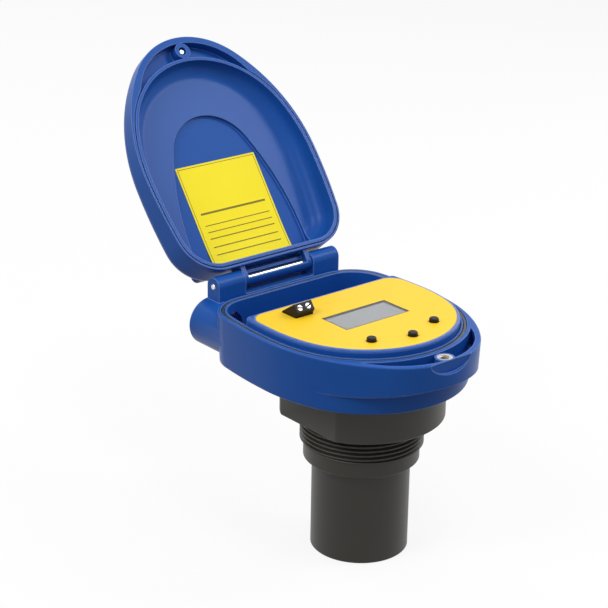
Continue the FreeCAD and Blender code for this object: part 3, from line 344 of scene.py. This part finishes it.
def metalFinish(name, settings):
    material, tree, shader, place = startMaterial(name)
    scratches = addNode(tree, "ShaderNodeTexNoise", {
        "Vector": place, "Scale": grain(settings["scratch"]), "Detail": 2.0})
    low, high = settings["roughness"]
    gloss = addNode(tree, "ShaderNodeMapRange", {
        "Value": scratches.outputs["Fac"], "To Min": low, "To Max": high})
    soft = addNode(tree, "ShaderNodeBevel", {"Radius": settings["edgeRadius"] * mm}, samples=4)
    # painted shade: the metal's colour goes to the nook shade colour where the occlusion finds a slot
    # or hollow
    reach, shut, wide = settings["nook"]
    nook = addNode(tree, "ShaderNodeAmbientOcclusion", {"Distance": reach * mm}, samples=8)
    unshaded = addNode(tree, "ShaderNodeMapRange", {
        "Value": nook.outputs["AO"], "From Min": shut, "From Max": wide})
    colour = addNode(tree, "ShaderNodeMix", {
        "Factor": unshaded.outputs["Result"],
        "A": linear(settings["nookShade"]),
        "B": linear(settings["colour"]),
    }, data_type="RGBA")
    plug(tree, shader, {
        "Base Color": colour.outputs["Result"],
        "Roughness": gloss.outputs["Result"],
        "Normal": soft.outputs["Normal"],
        "Metallic": 1.0,
    })
    return material


# Cast acrylic window: clear and polished, with a trace of grey and a slow ripple in its reflections
windowAcrylic = {
    "colour": "F4F6F7",
    "roughness": 0.04,
    "ior": 1.49,
    "rippleSize": 12.0,  # mm
    "rippleDepth": 0.01,
}


def clearAcrylic(settings):
    material, tree, shader, place = startMaterial("clearAcrylic")
    ripple = addNode(tree, "ShaderNodeTexNoise", {
        "Vector": place, "Scale": grain(settings["rippleSize"])})
    bump = addNode(tree, "ShaderNodeBump", {
        "Height": ripple.outputs["Fac"], "Distance": settings["rippleDepth"] * mm, "Strength": 0.3})
    plug(tree, shader, {
        "Base Color": linear(settings["colour"]),
        "Normal": bump.outputs["Normal"],
        "Roughness": settings["roughness"],
        "IOR": settings["ior"],
        "Transmission Weight": 1.0,
    })
    return material


blue = mouldedBlueAbs("mouldedBlueAbs", blueAbs)
dark = turnedDarkPlastic(darkPlastic)
plain = {name: plainFinish(name, settings) for name, settings in plainFinishes.items()}
metal = {name: metalFinish(name, settings) for name, settings in metalFinishes.items()}

finishOfSlot = {
    "housing_blue": blue,
    "sensor_dark": dark,
    "black_rubber": plain["greyNitrile"],
    "plate_yellow": plain["printedYellowFilm"],
    "window_clear": clearAcrylic(windowAcrylic),
    "display_grey": plain["displayGlass"],
    "black_plastic": plain["blackNylon"],
    "board_green": plain["greenSolderMask"],
    "steel": metal["drawnStainless"],
    "brass": metal["nickeledBrass"],
    "copper": metal["tinnedCopper"],
    "piezo": plain["firedCeramic"],
    "epoxy": plain["castEpoxy"],
}
for subpart in record["subparts"]:
    if subpart["material_slot"] in finishOfSlot:
        dress(finishOfSlot[subpart["material_slot"]], nodes[subpart["node"]])
dress(metal["zincedSteel"], nodes["terminal_screws"])
dress(mouldedBlueAbs("mouldedBlueAbsDeck", deckAbs), nodes["deck_cover"])
print("materials on", len(record["subparts"]), "CAD nodes")


# Screw threads, cut into copies of the solids that carry them; sizes in mm
processThread = {
    "node": "transducer_housing",
    "mount": "process_thread",
    "piece": "threaded_transducer_housing",
    "slot": "sensor_dark",
    "pitch": 25.4 / 11.5,  # 2 inch pipe thread
    "depth": 1.45,
    "outward": -1,
    "crest": 0.35,
    "root": 0.25,
    "leadIn": 0.6,
    "runOut": 1.0,
    "stepsPerTurn": 72,
}
conduitThread = {
    "node": "base_housing",
    "mount": "conduit_entry",
    "piece": "threaded_base_housing",
    "slot": "housing_blue",
    "pitch": 25.4 / 14,  # half inch pipe thread
    "depth": 1.1,
    "outward": 1,
    "crest": 0.3,
    "root": 0.2,
    "leadIn": 0.6,
    "runOut": 1.5,
    "stepsPerTurn": 48,
}
insertThread = {
    "node": "lid_screw_insert",
    "mount": "lid_screw",
    "piece": "threaded_lid_screw_insert",
    "slot": "brass",
    "pitch": 0.7,  # M4
    "depth": 0.36,
    "outward": 1,
    "crest": 0.12,
    "root": 0.1,
    "leadIn": 0.6,
    "runOut": 1.2,
    "stepsPerTurn": 32,
}


def threadCutter(settings):
    standOff = 0.4  # mm that the cutter reaches past the crests
    mount = mounts[settings["mount"]]
    radius = mount["dims"]["r_mm"]
    length = mount["dims"]["length_mm"]
    pitch, outward = settings["pitch"], settings["outward"]
    past = radius - outward * standOff
    mouth = (pitch - settings["crest"]) / 2
    floor = settings["root"] / 2
    bottom = radius + outward * settings["depth"]
    profile = [
        (past, -mouth), (radius, -mouth), (bottom, -floor),
        (bottom, floor), (radius, mouth), (past, mouth),
    ]
    steps = settings["stepsPerTurn"]
    travel = length + settings["leadIn"] - settings["runOut"]
    count = round(travel / pitch * steps)
    bm = bmesh.new()
    ring = [bm.verts.new((x * mm, 0, z * mm)) for x, z in profile]
    section = bm.faces.new(ring)
    bmesh.ops.spin(
        bm, geom=[section, *section.edges, *ring], cent=(0, 0, 0), axis=(0, 0, 1),
        dvec=(0, 0, pitch / steps * mm), angle=math.tau * count / steps, steps=count,
        use_merge=False, use_duplicate=False)
    bmesh.ops.remove_doubles(bm, verts=bm.verts, dist=weld)
    bmesh.ops.recalc_face_normals(bm, faces=bm.faces)
    axis = Vector(mount["axis"])
    start = Vector(mount["pos_m"]) + axis * (length / 2 + settings["leadIn"]) * mm
    turn = Vector((0, 0, 1)).rotation_difference(-axis).to_matrix().to_4x4()
    bmesh.ops.transform(bm, matrix=Matrix.Translation(start) @ turn, verts=bm.verts)
    return meshFrom(bm, "threadCutter")


def cutAway(piece, cutterMesh):
    cutter = bpy.data.objects.new("cutter", cutterMesh)
    scene.collection.objects.link(cutter)
    modifier = piece.modifiers.new("cut", "BOOLEAN")
    modifier.operation = "DIFFERENCE"
    modifier.solver = "EXACT"
    modifier.object = cutter
    graph = bpy.context.evaluated_depsgraph_get()
    mesh = bpy.data.meshes.new_from_object(piece.evaluated_get(graph))
    piece.modifiers.clear()
    piece.data = mesh
    bm = bmesh.new()
    bm.from_mesh(mesh)
    sliver = 2e-6  # m, shorter edges are left over from the cut
    bmesh.ops.remove_doubles(bm, verts=bm.verts, dist=sliver)
    bmesh.ops.triangulate(bm, faces=bm.faces, quad_method="BEAUTY", ngon_method="BEAUTY")
    bmesh.ops.dissolve_degenerate(bm, dist=sliver, edges=bm.edges)
    bmesh.ops.triangulate(bm, faces=bm.faces, quad_method="BEAUTY", ngon_method="BEAUTY")
    bm.to_mesh(mesh)
    bm.free()
    smoothShade(mesh, creaseAngle)
    bpy.data.objects.remove(cutter)


def cutThread(settings, material):
    facetWeld = 1e-6  # m, joins the CAD mesh's loose triangles
    bm = bmesh.new()
    bm.from_mesh(nodes[settings["node"]].data)
    bmesh.ops.remove_doubles(bm, verts=bm.verts, dist=facetWeld)
    piece = finishPiece(bm, settings["piece"], "base")
    cutAway(piece, threadCutter(settings))
    dress(material, piece)
    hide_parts(settings["node"])
    print(settings["piece"], len(piece.data.polygons), "faces")
    return piece


cutThread(processThread, dark)
threadedBase = cutThread(conduitThread, blue)
cutThread(insertThread, metal["nickeledBrass"])


# Finger scoop under the rim at the tip: the solid's cut squared out to a flat back over a curved ledge
fingerScoop = {
    "halfWidth": 12.4,  # mm
    "drop": 6.2,
    "depth": 1.8,
    "length": 12.0,
    "tipReach": 10.0,  # mm behind the tip where the rim's height is read
    "steps": 96,
}


def squareScoop(piece, settings):
    points = [vert.co for vert in piece.data.vertices]
    tip = min(point.y for point in points)
    rim = max(point.z for point in points if point.y < tip + settings["tipReach"] * mm)
    bm = bmesh.new()
    bmesh.ops.create_cone(
        bm, cap_ends=True, segments=settings["steps"],
        radius1=mm, radius2=mm, depth=settings["length"] * mm)
    size = Matrix.Diagonal((settings["halfWidth"], settings["drop"], 1, 1))
    turn = Matrix.Rotation(math.pi / 2, 4, "X")
    place = Vector((0, tip + (settings["depth"] - settings["length"] / 2) * mm, rim))
    bmesh.ops.transform(bm, matrix=Matrix.Translation(place) @ turn @ size, verts=bm.verts)
    cutAway(piece, meshFrom(bm, "scoopCutter"))
    print("finger scoop squared out")


squareScoop(threadedBase, fingerScoop)


# Printed vinyl label inside the lid: slick lemon yellow with a slight ripple, a thin frame and blank
# ruled lines in brown ink, its lower edge a little lifted; sizes in mm
labelFilm = {
    "solid": 0.3,  # thickness of the solid that it replaces
    "thickness": 0.12,
    "lift": 0.9,
    "liftShare": 0.3,  # of the length, from the foot
    "columns": 20,
    "rows": 24,
    "creaseAngle": 50,
    "colour": "FFEC00",
    "shade": "FBE500",
    "patchSize": 25.0,
    "rippleSize": 9.0,
    "rippleDepth": 0.05,
    "roughness": 0.4,
    "ior": 1.52,
    "specular": 0.15,
    "ink": "4A4208",
    "inkShare": 0.85,
    "frame": 1.1,  # in from the edge
    "frameWidth": 0.35,
    "ruleMargin": 4.5,
    # share of the length from the top, line width
    "rules": [(0.478, 1.1), (0.595, 0.5), (0.66, 0.5), (0.725, 0.6), (0.81, 0.6), (0.886, 0.6)],
}


# Where the label lies: its pose, width, length and the level of the panel under it
def labelPlace(settings):
    forward = [face for face in nodes["lid_label"].data.polygons if face.normal.y < 0]
    normal = max(forward, key=lambda face: face.area).normal.copy()
    low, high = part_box("lid_label")
    across = Vector((1, 0, 0))
    along = normal.cross(across)
    spread = high - low
    thickness = settings["solid"] * mm
    length = (spread.z - thickness * abs(normal.z)) / along.z
    axes = Matrix((across, along, normal)).transposed().to_4x4()
    return Matrix.Translation((low + high) / 2) @ axes, spread.x, length, -thickness / 2


# Distances across, along and out of the panel
def onPanel(tree, place, pose):
    turned = addNode(tree, "ShaderNodeMapping", {
        "Vector": place, "Location": pose.to_translation(), "Rotation": pose.to_euler()},
        vector_type="TEXTURE")
    return addNode(tree, "ShaderNodeSeparateXYZ", {"Vector": turned.outputs["Vector"]}).outputs


# Every printed line is a strip, given by its middle and half its size, across and along
def labelInk(tree, place, settings, pose, width, length):
    edge, line = settings["frame"] * mm, settings["frameWidth"] / 2 * mm
    side, end = width / 2 - edge, length / 2 - edge
    strips = [((side * way, 0), (line, end + line)) for way in (-1, 1)]
    strips += [((0, end * way), (side + line, line)) for way in (-1, 1)]
    ruleHalf = width / 2 - settings["ruleMargin"] * mm
    for share, thick in settings["rules"]:
        strips.append(((0, (0.5 - share) * length), (ruleHalf, thick / 2 * mm)))
    flat = onPanel(tree, place, pose)
    ink = 0.0
    for middle, half in strips:
        across, along = (
            addNode(tree, "ShaderNodeMath", {0: flat[axis], 1: centre, 2: reach}, operation="COMPARE")
            for axis, centre, reach in zip("XY", middle, half))
        strip = addNode(tree, "ShaderNodeMath", {
            0: across.outputs["Value"], 1: along.outputs["Value"]}, operation="MULTIPLY")
        ink = addNode(tree, "ShaderNodeMath", {
            0: ink, 1: strip.outputs["Value"]}, operation="MAXIMUM").outputs["Value"]
    return addNode(tree, "ShaderNodeMath", {
        0: ink, 1: settings["inkShare"]}, operation="MULTIPLY").outputs["Value"]


def printedYellowVinyl(settings, pose, width, length):
    material, tree, shader, place = startMaterial("printedYellowVinyl")
    colour = addNode(tree, "ShaderNodeMix", {
        "Factor": labelInk(tree, place, settings, pose, width, length),
        "A": driftingColour(tree, place, settings),
        "B": linear(settings["ink"]),
    }, data_type="RGBA")
    ripple = addNode(tree, "ShaderNodeTexNoise", {
        "Vector": place, "Scale": grain(settings["rippleSize"]), "Detail": 1.0})
    bump = addNode(tree, "ShaderNodeBump", {
        "Height": ripple.outputs["Fac"], "Distance": settings["rippleDepth"] * mm, "Strength": 0.4})
    plug(tree, shader, {
        "Base Color": colour.outputs["Result"],
        "Normal": bump.outputs["Normal"],
        "Roughness": settings["roughness"],
        "IOR": settings["ior"],
        "Specular IOR Level": settings["specular"],
    })
    return material


def addLabel(settings):
    pose, width, length, level = labelPlace(settings)
    bm = bmesh.new()
    bmesh.ops.create_grid(bm, x_segments=settings["columns"], y_segments=settings["rows"], size=0.5)
    bmesh.ops.scale(bm, vec=(width, length, 1), verts=bm.verts)
    for vert in bm.verts:
        fromFoot = (vert.co.y + length / 2) / length
        vert.co.z = settings["lift"] * mm * max(0, 1 - fromFoot / settings["liftShare"]) ** 2 + level
    bmesh.ops.solidify(bm, geom=bm.faces[:], thickness=-settings["thickness"] * mm)
    bmesh.ops.recalc_face_normals(bm, faces=bm.faces)
    bmesh.ops.transform(bm, matrix=pose, verts=bm.verts)
    piece = finishPiece(bm, "lid_label_film", "lid_body", settings["creaseAngle"])
    dress(printedYellowVinyl(settings, pose, width, length), piece)
    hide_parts("lid_label")
    print("label film laid")


addLabel(labelFilm)


# The lid's recessed panel: a duller mould grain than on the floor round it, so it takes less sheen
lidPanel = {
    "roughness": 0.47,
    "reach": (37.0, 64.0, 0.5),  # mm either way, across, along and through the panel's face
}


def dullPanel(settings):
    material = blue.copy()
    material.name = "mouldedBlueAbsDullPanel"
    tree = material.node_tree
    pose, _, _, level = labelPlace(labelFilm)
    flat = onPanel(tree, addNode(tree, "ShaderNodeTexCoord").outputs["Object"], pose)
    panel = 1.0
    for axis, middle, reach in zip("XYZ", (0, 0, level), settings["reach"]):
        inside = addNode(tree, "ShaderNodeMath", {
            0: flat[axis], 1: middle, 2: reach * mm}, operation="COMPARE")
        panel = addNode(tree, "ShaderNodeMath", {
            0: panel, 1: inside.outputs["Value"]}, operation="MULTIPLY").outputs["Value"]
    gloss = addNode(tree, "ShaderNodeMapRange", {
        "Value": panel, "To Min": blueAbs["roughness"], "To Max": settings["roughness"]})
    plug(tree, tree.nodes["Principled BSDF"], {"Roughness": gloss.outputs["Result"]})
    dress(material, nodes["lid"])
    print("lid panel dulled")


dullPanel(lidPanel)


# Captive slotted screw with a dog point, drawn back in the boss at the lid's tip
lidScrew = {
    # radius and height in mm above the tip
    "profile": [
        (0.0, 0.0), (1.15, 0.0), (1.35, 0.2), (1.35, 1.6), (1.95, 2.2), (1.95, 9.7),
        (3.0, 9.7), (3.4, 10.1), (3.4, 11.8), (2.9, 12.4), (0.0, 12.4),
    ],
    "tip": 5.5,  # mm above the insert's middle when the lid is shut
    "steps": 40,
    "slot": (0.9, 10.0, 1.2),  # mm wide, long, deep
}


def addLidScrew(settings):
    hinge = next(joint for joint in record["behaviour"]["joints"] if joint["name"] == "lid_hinge")
    pivot = Matrix.Translation(Vector(hinge["pos_m"]))
    swing = Matrix.Rotation(-math.radians(hinge["range_deg"][1]), 4, Vector(hinge["axis"]))
    foot = Vector(mounts["lid_screw"]["pos_m"]) + Vector((0, 0, settings["tip"] * mm))
    pose = pivot @ swing @ pivot.inverted() @ Matrix.Translation(foot)
    bm = bmesh.new()
    verts = [bm.verts.new((radius * mm, 0, height * mm)) for radius, height in settings["profile"]]
    edges = [bm.edges.new(pair) for pair in zip(verts, verts[1:])]
    bmesh.ops.spin(
        bm, geom=[*verts, *edges], cent=(0, 0, 0), axis=(0, 0, 1), angle=math.tau,
        steps=settings["steps"], use_merge=True)
    bmesh.ops.remove_doubles(bm, verts=bm.verts, dist=weld)
    bmesh.ops.recalc_face_normals(bm, faces=bm.faces)
    bmesh.ops.transform(bm, matrix=pose, verts=bm.verts)
    piece = finishPiece(bm, "lid_captive_screw", "lid_body")
    wide, long, deep = settings["slot"]
    top = settings["profile"][-1][1]
    cutter = bmesh.new()
    bmesh.ops.create_cube(cutter, size=mm)
    bmesh.ops.scale(cutter, vec=(wide, long, deep * 2), verts=cutter.verts)
    bmesh.ops.translate(cutter, vec=(0, 0, top * mm), verts=cutter.verts)
    bmesh.ops.transform(cutter, matrix=pose, verts=cutter.verts)
    cutAway(piece, meshFrom(cutter, "slotCutter"))
    dress(metal["drawnStainless"], piece)
    print("captive lid screw placed")


addLidScrew(lidScrew)


# Plain pale floor, soft boxes and a white surround
studio = {
    "floorHalf": 4.0,  # m
    "floorGap": 0.1,  # mm, keeps the floor off the sensing face
    "floorColour": "F6F6F5",
    "floorBounce": "6C6C6C",  # what the floor throws back on the object
    "floorRoughness": 0.9,
    "floorGlow": 0.85,  # share of plain white where the floor is seen
    "ambient": 0.47,  # strength of the surround's light on the object
    "boxes": [
        # name, place in m, size in m, watts
        ("topBox", (-0.12, -0.35, 1.05), 0.25, 2.2),
        ("leftBox", (-0.9, 0.1, 0.95), 0.5, 5.5),
        ("frontBox", (0.63, -0.38, 0.84), 0.3, 2.8),
        ("rightBox", (1.0, 0.1, 0.4), 0.6, 1.5),
        ("backBox", (0.1, 1.1, 0.8), 0.8, 3.0),
    ],
    "aim": (0.0, 0.03, 0.11),  # m, where the boxes point
}
white = linear("FFFFFF")


# Rays that see the background: from the camera, off gloss and through glass
def seenRays(tree):
    path = addNode(tree, "ShaderNodeLightPath").outputs
    mirrored = addNode(tree, "ShaderNodeMath", {
        0: path["Is Glossy Ray"], 1: path["Is Transmission Ray"]}, operation="MAXIMUM")
    return addNode(tree, "ShaderNodeMath", {
        0: path["Is Camera Ray"], 1: mirrored.outputs["Value"]}, operation="MAXIMUM").outputs["Value"]


# Matt white paper: pale, keeps the object's shadow, and is clear from below
def palePaper(settings):
    material, tree, shader, _ = startMaterial("palePaper")
    seen = seenRays(tree)
    paper = addNode(tree, "ShaderNodeMix", {
        "Factor": seen,
        "A": linear(settings["floorBounce"]),
        "B": linear(settings["floorColour"]),
    }, data_type="RGBA")
    plug(tree, shader, {
        "Base Color": paper.outputs["Result"],
        "Roughness": settings["floorRoughness"],
        "Specular IOR Level": 0.0,
    })
    glow = addNode(tree, "ShaderNodeEmission", {"Color": white, "Strength": 1.0})
    share = addNode(tree, "ShaderNodeMath", {0: seen, 1: settings["floorGlow"]}, operation="MULTIPLY")
    lit = addNode(tree, "ShaderNodeMixShader", {
        0: share.outputs["Value"], 1: shader.outputs["BSDF"], 2: glow.outputs["Emission"]})
    under = addNode(tree, "ShaderNodeBsdfTransparent")
    side = addNode(tree, "ShaderNodeNewGeometry")
    both = addNode(tree, "ShaderNodeMixShader", {
        0: side.outputs["Backfacing"], 1: lit.outputs["Shader"], 2: under.outputs["BSDF"]})
    plug(tree, tree.nodes["Material Output"], {"Surface": both.outputs["Shader"]})
    return material


def addFloor(settings):
    bm = bmesh.new()
    bmesh.ops.create_grid(bm, x_segments=1, y_segments=1, size=settings["floorHalf"])
    bmesh.ops.translate(bm, vec=(0, 0, -settings["floorGap"] * mm), verts=bm.verts)
    floor = bpy.data.objects.new("paleFloor", meshFrom(bm, "paleFloor"))
    scene.collection.objects.link(floor)
    dress(palePaper(settings), floor)


def addSurround(settings):
    world = bpy.data.worlds.new("whiteSurround")
    world.use_nodes = True
    scene.world = world
    tree = world.node_tree
    strength = addNode(tree, "ShaderNodeMapRange", {
        "Value": seenRays(tree), "To Min": settings["ambient"], "To Max": 1.0})
    plug(tree, tree.nodes["Background"], {"Color": white, "Strength": strength.outputs["Result"]})


def addSoftBoxes(settings):
    aim = Vector(settings["aim"])
    for name, place, size, watts in settings["boxes"]:
        data = bpy.data.lights.new(name, "AREA")
        data.shape = "SQUARE"
        data.size = size
        data.energy = watts
        lamp = bpy.data.objects.new(name, data)
        lamp.location = place
        lamp.rotation_euler = (aim - Vector(place)).to_track_quat("-Z", "Y").to_euler()
        scene.collection.objects.link(lamp)


addFloor(studio)
addSurround(studio)
addSoftBoxes(studio)
print("studio lit")
